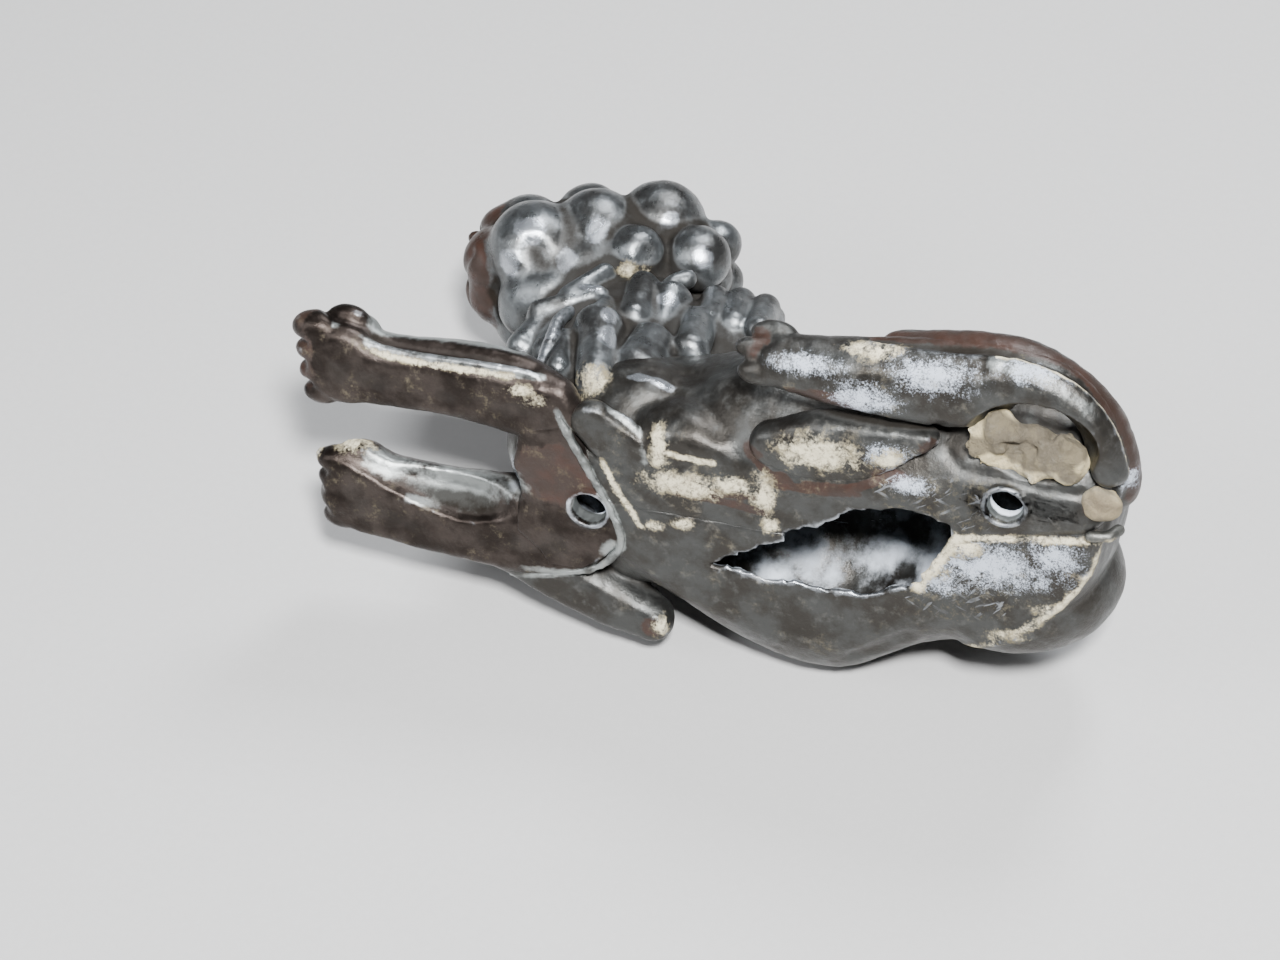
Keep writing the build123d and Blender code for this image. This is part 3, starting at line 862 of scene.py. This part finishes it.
def cast_parts(body):
    """Field of each cast piece by itself, which decides where the whole is parted."""
    side = left_of_parting()
    return {
        "left_foreleg": left_foreleg(),
        "right_foreleg": right_foreleg(),
        "chest_plate": plate(CHEST_OUTLINE, PLATE),
        "rear_plate": np.maximum(plate(REAR_OUTLINE, PLATE), body),
        "body_shell_left": np.maximum(body, side),
        "body_shell_right": np.maximum(body, -side),
        "left_hind_leg": left_hind_leg(),
        "right_hind_foot": limb(RIGHT_HIND_FOOT, RIGHT_HIND_TOES),
        "tail": limb(TAIL, TAIL_TIP),
        "mane": mane(),
        "head": head(),
    }


def hollow_space(body, slot, pocket):
    """Inside of the body: it leaves a wall, which thins at the slot, and room for the pocket."""
    floor = SLOT_EDGE + 0.3 * np.clip(slot, 0, 4) - ALL[2]
    return np.maximum(np.maximum(body + WALL, floor), POCKET_WALL - pocket) + rough("hollow")


def punch_hole(whole, centre):
    """The whole with a fixing hole through a thin raised rim."""
    x, y, z = ALL
    rim = np.sqrt(hole_distance(centre, x, y, HOLE_R + RIM_GAP) ** 2 + z ** 2) - RIM_R
    whole = soft_min(whole, rim, 0.25)
    bore = hole_distance(centre, x, y, HOLE_R) + HOLE_TAPER * np.maximum(z, 0)
    return soft_max(whole, -np.maximum(bore, z - HOLE_DEPTH), 0.25)


def plaster_crust():
    """How much of the crust lies at each point, from 0 to 1."""
    crust = GRID.empty()
    for blob in PATCHES["plaster"]:
        centre, radii = blob[:3], blob[3:]
        window, *place = GRID.window(np.array(centre) - radii, np.array(centre) + radii)
        reach = np.sqrt(sum(((p - c) / r) ** 2 for p, c, r in zip(place, centre, radii)))
        crust[window] = np.minimum(crust[window], reach - 1)
    return smooth_step(-crust + rough("crust_edge"), 0.1, 0.5)


def whole_figure(body, parts, slot, pocket):
    """Every cast piece blended into one form, with its openings, creases and crust."""
    z = ALL[2]
    whole = soft_min(body, parts["chest_plate"], 0.3)
    for name, fillet in FILLETS.items():
        whole = soft_min(whole, parts[name], fillet)
    scoop = GRID.empty()
    add_limb(scoop, INNER_SCOOP, 0.3)
    whole = soft_max(whole, -scoop, 0.35)
    whole = soft_max(whole, -hollow_space(body, slot, pocket), 0.2)
    whole += rough("cast")
    whole = soft_max(whole, -z + rough("underside")[:, :, :1], 0.45)
    for line, width, depth in CREASES:
        press(whole, line, width, depth)
    whole = soft_max(whole, -np.maximum(slot, z - SLOT_DEPTH), 0.15)
    whole = soft_max(whole, -pocket, 0.3)
    for centre in (FRONT_HOLE, REAR_HOLE):
        whole = punch_hole(whole, centre)
    whole -= plaster_crust() * (CRUST + rough("crust"))
    return whole


def plaster_residue(pocket):
    """Lumps of plaster in the pocket, and one on the rump."""
    lumps, rump = GRID.empty(), GRID.empty()
    add_eggs(lumps, LUMPS)
    add_eggs(rump, RUMP_LUMP)
    lumps += rough("lumps")
    rump += rough("rump_lump")
    return np.minimum(np.maximum(lumps, pocket - 0.4), rump)


def solder_bead(line, radius):
    bead = GRID.empty()
    add_cord(bead, line, radius, 0.1)
    return bead + rough("solder")


def mask_finder(whole, body):
    """A function from points in mm to every paint mask there."""
    near = box_blur(whole, max(1, round(EDGE_REACH / GRID.step))) - whole
    wide = box_blur(whole, max(2, round(HOLLOW_REACH / GRID.step))) - whole

    def masks(points):
        x, y, z = points.T
        found = {name: paint(points, blobs) for name, blobs in PATCHES.items()}
        for name, line, reach in STRIPES:
            found[name] = np.maximum(found[name], 1 - np.sqrt(line_gap(points.T, curve(line))) / reach)
        for centre in (FRONT_HOLE, REAR_HOLE):
            wall = 1.25 - np.hypot(x - centre[0], y - centre[1]) / HOLE_R
            found["pale_and_highlight"] = np.maximum(found["pale_and_highlight"], np.where(abs(z - 5.0) < 4.7, wall * 2, -1))
        found["base"] = smooth_step(-z, -1.6, -0.1)
        found["edge"] = sample(near, points)
        found["hollow"] = sample(wide, points)
        found["inner"] = np.maximum(-sample(body, points) - 0.93 * WALL, -0.5) / WALL
        # Painted shadow: the inner wall seen through the slot turns dark higher up, where the slot's upper
        # edge would shade it from the key lamp.
        found["slot_shadow"] = (z - 13.6 - 0.22 * y) / 1.4
        found["filed"] = smooth_step(-z, -0.7, -0.2) * (paint(points, FILED) > 0)
        return found

    return masks


def build_fields():
    """Field of each piece, all cut from one blended form so that neighbours meet, and the masks."""
    x, y, z = ALL
    body = trunk()
    parts = cast_parts(body)
    slot = rough("slot", plan_distance(SLOT_UPPER + SLOT_LOWER, x, y))
    pocket = egg(*POCKET)[2](x, y, z)
    whole = whole_figure(body, parts, slot, pocket)
    front = np.minimum.reduce(list(parts.values()))
    fields = {name: whole + 0.7 * np.maximum(field - front, 0) for name, field in parts.items()}
    fields["plaster_residue"] = plaster_residue(pocket)
    for name, line, radius in SOLDER_BEADS:
        fields[name] = solder_bead(line, radius)
    return fields, mask_finder(whole, body)


# ------------------------ materials

class Nodes:
    """Short calls for the nodes that every finish here is made of."""

    def __init__(self, name):
        self.material = bpy.data.materials.new(name)
        self.material.use_nodes = True
        self.tree = self.material.node_tree
        self.shader = self.tree.nodes["Principled BSDF"]
        self.place = self.new("ShaderNodeTexCoord").outputs["Object"]

    def new(self, kind, **settings):
        node = self.tree.nodes.new(kind)
        for key, value in settings.items():
            setattr(node, key, value)
        return node

    def link(self, value, socket):
        if isinstance(value, bpy.types.NodeSocket):
            self.tree.links.new(value, socket)
        else:
            socket.default_value = value

    def mask(self, name):
        node = self.new("ShaderNodeAttribute", attribute_type="GEOMETRY", attribute_name=name)
        return node.outputs["Fac"]

    def math(self, operation, a, b=0.0, clamp=False):
        node = self.new("ShaderNodeMath", operation=operation, use_clamp=clamp)
        self.link(a, node.inputs[0])
        self.link(b, node.inputs[1])
        return node.outputs[0]

    def times(self, a, b):
        return self.math("MULTIPLY", a, b)

    def most(self, a, b):
        return self.math("MAXIMUM", a, b)

    def less(self, a, b):
        return self.math("SUBTRACT", a, b)

    def vary(self, base, noise, amount, middle=0.5):
        """base, made uneven by amount times what noise differs from its middle."""
        return self.math("ADD", base, self.times(self.less(noise, middle), amount))

    def bump(self, height, strength, distance):
        """Bumps of distance mm on the shader's normal."""
        node = self.new("ShaderNodeBump")
        node.inputs["Strength"].default_value = strength
        node.inputs["Distance"].default_value = distance * MM
        self.link(height, node.inputs["Height"])
        self.link(node.outputs[0], self.shader.inputs["Normal"])

    def noise(self, size, detail=4.0, roughness=0.6, stretch=None, turn=(0, 0, 0)):
        """Noise from 0 to 1 with features of about size mm, optionally stretched along an axis."""
        place = self.place
        if stretch:
            mapping = self.new("ShaderNodeMapping", vector_type="TEXTURE")
            mapping.inputs["Scale"].default_value = stretch
            mapping.inputs["Rotation"].default_value = turn
            self.link(place, mapping.inputs["Vector"])
            place = mapping.outputs[0]
        node = self.new("ShaderNodeTexNoise")
        node.inputs["Scale"].default_value = 1 / (size * MM)
        node.inputs["Detail"].default_value = detail
        node.inputs["Roughness"].default_value = roughness
        self.link(place, node.inputs["Vector"])
        return node.outputs["Fac"]

    def step(self, value, low, high, top=1.0):
        """0 where value is below low, top where it is above high."""
        node = self.new("ShaderNodeMapRange", interpolation_type="SMOOTHSTEP")
        node.inputs["From Min"].default_value = low
        node.inputs["From Max"].default_value = high
        node.inputs["To Max"].default_value = top
        self.link(value, node.inputs["Value"])
        return node.outputs[0]

    def mix(self, amount, a, b):
        node = self.new("ShaderNodeMix", data_type="RGBA")
        self.link(amount, node.inputs["Factor"])
        for colour, socket in ((a, node.inputs["A"]), (b, node.inputs["B"])):
            self.link(colour if isinstance(colour, bpy.types.NodeSocket) else (*colour, 1), socket)
        return node.outputs["Result"]

    def blend(self, amount, a, b):
        """Number between a and b."""
        node = self.new("ShaderNodeMix", data_type="FLOAT")
        self.link(amount, node.inputs["Factor"])
        self.link(a, node.inputs["A"])
        self.link(b, node.inputs["B"])
        return node.outputs["Result"]


# Dark colour for dirt and painted shade in hollows, and for the painted shadow inside the slot.
DIRT_AND_SHADE = (0.012, 0.010, 0.008)
GREY_METAL = (0.074, 0.075, 0.072)
DARK_METAL = (0.046, 0.042, 0.037)
BROWN_METAL = (0.025, 0.019, 0.016)
PALE_BROWN_METAL = (0.060, 0.048, 0.042)
MANE_METAL = (0.15, 0.16, 0.165)
DARK_MANE_METAL = (0.080, 0.080, 0.078)
SOLDER_METAL = (0.13, 0.13, 0.12)
# Bare metal of rubbed edges and file marks, also used for painted highlights.
BARE_METAL_AND_HIGHLIGHT = (0.46, 0.49, 0.53)
# Pale metal, also used for painted highlights.
PALE_METAL_AND_HIGHLIGHT = (0.36, 0.38, 0.37)
INNER_WALL = (0.72, 0.78, 0.86)
BROWN_LACQUER = (0.026, 0.015, 0.011)
RED_LACQUER = (0.036, 0.017, 0.0115)
CREAM = (0.62, 0.56, 0.40)
OLD_CREAM = (0.20, 0.17, 0.105)
STAIN = (0.15, 0.13, 0.10)
BLOOM = (0.50, 0.55, 0.63)
YELLOW_CEMENT = (0.60, 0.50, 0.29)
GREY_CEMENT = (0.30, 0.26, 0.18)
PALE_CEMENT = (0.66, 0.61, 0.46)
# Dirt and painted shade in the cement's hollows.
CEMENT_DIRT_AND_SHADE = (0.08, 0.065, 0.045)
CEMENT_GRIT = (0.17, 0.145, 0.105)
CEMENT_STAIN = (0.16, 0.125, 0.08)
FLOOR_COLOURS = ((0.40, 0.395, 0.39), (0.44, 0.435, 0.43))
FILE_TURNS = (-0.88, -0.55, 0.5)  # direction of each set of file marks, in radians
FILE_STRETCH = (1.0, 6.0, 1.0)


def shade(colour, factor):
    return tuple(factor * c for c in colour)


def file_marks(n, cloud):
    """Fine strokes of a file on the filed areas, in three directions."""
    marks = 0.0
    for index, turn in enumerate(FILE_TURNS):
        stroke = n.noise(0.4 + 0.1 * index, 2.0, 0.5, FILE_STRETCH, (0, 0, turn))
        marks = n.most(marks, n.step(stroke, 0.62, 0.68))
    return n.times(marks, n.times(n.mask("filed"), n.step(cloud, 0.40, 0.60)))


def bloom_cover(n):
    """Where white oxide powder lies."""
    powder = n.math("ADD", n.noise(1.3, 6.0, 0.75), n.times(n.noise(0.2, 5.0, 0.85), 1.5))
    bloom = n.step(n.vary(n.mask("bloom"), powder, 2.6, 1.25), 0.10, 0.85)
    return n.times(bloom, n.step(n.mask("bloom"), -0.5, 0.2, 0.85))


def plaster_cover(n):
    """Where plaster lies or has stained the base, and its colour."""
    crumb = n.math("ADD", n.noise(1.5, 5.0, 0.7), n.times(n.noise(0.3, 4.0, 0.75), 0.6))
    plaster = n.step(n.vary(n.mask("plaster"), crumb, 2.6, 0.8), 0.05, 0.65)
    plaster = n.times(plaster, n.step(n.mask("plaster"), -0.35, 0.05))
    stain = n.times(n.step(n.noise(3.2, 6.0, 0.7), 0.50, 0.72), n.step(crumb, 0.74, 1.0, 0.7))
    plaster = n.most(plaster, n.times(stain, n.mask("base")))
    core = n.vary(n.mask("plaster"), n.noise(2.0, 7.0, 0.75), 2.4)
    cream = n.mix(n.step(core, 0.0, 0.7), OLD_CREAM, CREAM)
    return plaster, n.mix(n.step(n.noise(0.7, 6.0, 0.78), 0.48, 0.66, 0.85), cream, STAIN)


def cast_metal(name, base, other, lacquer_everywhere, shine, rub=0.10):
    """Worn, once lacquered white metal with plaster, oxide bloom, rubbed edges and dirt, with painted
    highlights, painted shade in hollows and a painted shadow inside the slot.
    """
    n = Nodes(name)
    cloud = n.noise(5.0, 5.0)
    mottle = n.noise(1.6, 8.0, 0.65)
    grain = n.noise(0.35, 6.0, 0.7)

    colour = n.mix(n.step(cloud, 0.38, 0.62), base, other)
    colour = n.mix(n.step(mottle, 0.50, 0.78, 0.55), colour, shade(base, 2.1))
    lacquer = n.math("ADD", n.vary(n.mask("lacquer"), mottle, 1.1), lacquer_everywhere)
    lacquer = n.step(lacquer, 0.02, 0.22)
    lacquer_colour = n.mix(n.step(n.noise(2.6, 5.0), 0.42, 0.66), BROWN_LACQUER, RED_LACQUER)
    colour = n.mix(lacquer, colour, lacquer_colour)
    # Pale metal, carrying painted highlights where the pale mask marks them.
    pale_and_highlight = n.step(n.vary(n.mask("pale_and_highlight"), mottle, 1.4), 0.0, 0.55, 0.9)
    colour = n.mix(pale_and_highlight, colour, PALE_METAL_AND_HIGHLIGHT)

    # Painted highlights in bare metal colour, joined with the real wear of rubbed edges.
    painted_highlight = n.step(n.vary(n.mask("painted_highlight"), mottle, 1.2), 0.15, 0.5, 0.95)
    wear_and_highlight = n.step(n.vary(n.mask("edge"), mottle, 0.32), rub, rub + 0.14, 0.85)
    wear_and_highlight = n.most(wear_and_highlight, painted_highlight)
    colour = n.mix(wear_and_highlight, colour, BARE_METAL_AND_HIGHLIGHT)
    marks = file_marks(n, cloud)
    colour = n.mix(n.times(marks, 0.5), colour, BARE_METAL_AND_HIGHLIGHT)

    fleck = n.times(n.step(n.noise(0.8, 7.0, 0.8), 0.50, 0.66, 0.5), n.mask("filed"))
    colour = n.mix(fleck, colour, OLD_CREAM)
    # Hollows go dark: dirt, and painted shade where creases and gaps would lie in shadow.
    dirt_and_shade = n.math("ADD", n.mask("hollow"), n.times(grain, -0.12))
    dirt_and_shade = n.step(n.less(0.0, dirt_and_shade), 0.0, 0.26, 0.92)
    colour = n.mix(dirt_and_shade, colour, DIRT_AND_SHADE)
    bloom = bloom_cover(n)
    colour = n.mix(bloom, colour, BLOOM)
    plaster, cream = plaster_cover(n)
    colour = n.mix(n.times(plaster, 0.94), colour, cream)

    inner = n.step(n.vary(n.mask("inner"), mottle, 0.3), 0.0, 0.2)
    inner_colour = n.mix(n.step(mottle, 0.45, 0.70), INNER_WALL, shade(INNER_WALL, 0.8))
    colour = n.mix(inner, colour, inner_colour)
    # Painted shadow on the upper part of the inner wall.
    slot_shadow = n.times(n.step(n.vary(n.mask("slot_shadow"), mottle, 0.25), -0.5, 0.7, 0.97), inner)
    colour = n.mix(slot_shadow, colour, DIRT_AND_SHADE)
    n.link(colour, n.shader.inputs["Base Color"])

    powder = n.most(n.most(bloom, plaster), inner)
    bare = n.less(1.0, n.most(powder, dirt_and_shade))
    n.link(n.math("MULTIPLY", n.blend(lacquer, 0.9, 0.25), bare, True), n.shader.inputs["Metallic"])
    rough_metal = n.blend(n.step(mottle, 0.3, 0.7), shine, shine + 0.20)
    rough_metal = n.blend(wear_and_highlight, rough_metal, 0.26)
    rough_metal = n.blend(n.times(n.mask("filed"), 0.8), rough_metal, 0.62)
    rough_metal = n.blend(n.most(powder, n.times(dirt_and_shade, 0.7)), rough_metal, 0.9)
    n.link(rough_metal, n.shader.inputs["Roughness"])
    n.link(n.less(0.5, n.times(n.most(dirt_and_shade, powder), 0.5)), n.shader.inputs["Specular IOR Level"])

    speck = n.times(n.noise(0.16, 3.0, 0.6), plaster)
    height = n.math("ADD", n.times(grain, 0.5), n.times(mottle, 0.9))
    height = n.math("ADD", height, n.times(speck, 0.8))
    n.bump(n.less(height, n.times(marks, 0.35)), 0.5, 0.16)
    return n.material


def cement(name):
    """Old yellowish plaster, crumbly and stained."""
    n = Nodes(name)
    cloud = n.noise(3.0, 6.0, 0.7)
    mottle = n.noise(1.1, 8.0, 0.7)
    grain = n.noise(0.3, 5.0, 0.7)
    colour = n.mix(n.step(cloud, 0.42, 0.60), YELLOW_CEMENT, GREY_CEMENT)
    colour = n.mix(n.step(mottle, 0.54, 0.68, 0.8), colour, PALE_CEMENT)
    # Hollows of the cement go dark: dirt and painted shade.
    colour = n.mix(n.step(n.less(0.0, n.mask("hollow")), -0.05, 0.25, 0.85), colour, CEMENT_DIRT_AND_SHADE)
    colour = n.mix(n.step(grain, 0.54, 0.72, 0.7), colour, CEMENT_GRIT)
    colour = n.mix(n.step(n.mask("lacquer"), -0.1, 0.3, 0.75), colour, CEMENT_STAIN)
    n.link(colour, n.shader.inputs["Base Color"])
    n.shader.inputs["Roughness"].default_value = 0.95
    n.bump(n.math("ADD", grain, mottle), 0.9, 0.4)
    return n.material


# ------------------------ stage

FLOOR_UP = Vector((0.968, 0.073, -0.242)).normalized()
FLOOR_HALF = 1.5  # metres
# Camera, from the photograph: its place in mm in the animal's frame, and its axes
CAMERA_PLACE = (172.03, 74.41, -227.17)
CAMERA_RIGHT = Vector((-0.05525, 0.95375, 0.29549))
CAMERA_UP = Vector((0.81072, -0.12989, 0.57085))
CAMERA_BACK = Vector((0.58282, 0.27110, -0.76604))
LENS, SENSOR = 90, 36
# Lamps round the figure: metres along the camera's back, up and right axes, size, watts, colour
LAMPS = {
    "key": (0.42, 0.065, 0.02, 0.05, 6.4, (0.98, 0.99, 1.0)),
    "top": (0.12, 0.34, 0.10, 0.10, 1.7, (0.93, 0.96, 1.0)),
    "left": (0.22, 0.05, -0.30, 0.16, 0.8, (0.95, 0.97, 1.0)),
}
LAMP_AIM = Vector((0, 0, 0.012))
SKY = (0.80, 0.83, 0.88, 1)
SKY_STRENGTH = 0.09


def make_floor():
    """Pale floor that the figure lies on, right side down. It is clear from below."""
    lowest = min(v.co.dot(FLOOR_UP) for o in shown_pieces() for v in o.data.vertices)
    mesh = bpy.data.meshes.new("floor")
    size = FLOOR_HALF
    corners = [(-size, -size, 0), (size, -size, 0), (size, size, 0), (-size, size, 0)]
    mesh.from_pydata(corners, [], [(0, 1, 2, 3)])
    floor = bpy.data.objects.new("floor", mesh)
    bpy.context.scene.collection.objects.link(floor)
    floor.rotation_mode = "QUATERNION"
    floor.rotation_quaternion = FLOOR_UP.to_track_quat("Z", "Y")
    floor.location = FLOOR_UP * lowest
    n = Nodes("floor")
    n.link(n.mix(n.noise(0.8, 3.0), *FLOOR_COLOURS), n.shader.inputs["Base Color"])
    n.shader.inputs["Roughness"].default_value = 0.9
    clear = n.new("ShaderNodeBsdfTransparent")
    mix = n.new("ShaderNodeMixShader")
    n.link(n.new("ShaderNodeNewGeometry").outputs["Backfacing"], mix.inputs[0])
    n.link(n.shader.outputs[0], mix.inputs[1])
    n.link(clear.outputs[0], mix.inputs[2])
    n.link(mix.outputs[0], n.tree.nodes["Material Output"].inputs["Surface"])
    mesh.materials.append(n.material)
    floor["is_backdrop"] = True


def make_camera():
    """Camera below and to the left of the figure, looking at its underside."""
    data = bpy.data.cameras.new("camera")
    data.lens = LENS
    data.sensor_width = SENSOR
    data.clip_start = 0.01
    camera = bpy.data.objects.new("camera", data)
    place = Vector((CAMERA_PLACE[0] + MIDLINE_X, *CAMERA_PLACE[1:])) * MM
    turn = Matrix((CAMERA_RIGHT, CAMERA_UP, CAMERA_BACK)).transposed().to_4x4()
    camera.matrix_world = Matrix.Translation(place) @ turn
    bpy.context.scene.collection.objects.link(camera)
    bpy.context.scene.camera = camera


def make_lights():
    """A bright lamp just above the camera, softer ones round the figure, and a dim sky."""
    world = bpy.data.worlds.new("studio")
    world.use_nodes = True
    world.node_tree.nodes["Background"].inputs[0].default_value = SKY
    world.node_tree.nodes["Background"].inputs[1].default_value = SKY_STRENGTH
    bpy.context.scene.world = world
    for name, (back, up, right, size, power, colour) in LAMPS.items():
        data = bpy.data.lights.new(name, "AREA")
        data.shape = "SQUARE"
        data.size = size
        data.energy = power
        data.color = colour
        light = bpy.data.objects.new(name, data)
        light.location = LAMP_AIM + CAMERA_BACK * back + CAMERA_UP * up + CAMERA_RIGHT * right
        light.rotation_mode = "QUATERNION"
        light.rotation_quaternion = (LAMP_AIM - light.location).to_track_quat("-Z", "Y")
        bpy.context.scene.collection.objects.link(light)


# ------------------------ making everything

FORELEG_NODES = ("left_foreleg", "right_foreleg", "chest_plate")
MANE_NODES = ("mane", "head")
SOLDER_NODES = ("front_seam_solder", "rump_seam_solder")


def slot_of(node):
    """Material slot of a node."""
    if node in FORELEG_NODES:
        return "foreleg_metal"
    if node in MANE_NODES:
        return "mane_metal"
    if node in SOLDER_NODES:
        return "solder"
    return "plaster" if node == "plaster_residue" else "body_metal"


finishes = {
    "foreleg_metal": cast_metal("foreleg_metal", BROWN_METAL, PALE_BROWN_METAL, 0.35, 0.30),
    "body_metal": cast_metal("body_metal", GREY_METAL, DARK_METAL, -0.1, 0.34),
    "mane_metal": cast_metal("mane_metal", MANE_METAL, DARK_MANE_METAL, -0.05, 0.24, 0.24),
    "solder": cast_metal("solder", SOLDER_METAL, GREY_METAL, -0.2, 0.38, 0.34),
    "plaster": cement("plaster"),
}
all_fields, all_masks = build_fields()
for node, field in all_fields.items():
    make_piece(node + "_cast", field, node, finishes[slot_of(node)], all_masks)

make_floor()
make_camera()
make_lights()
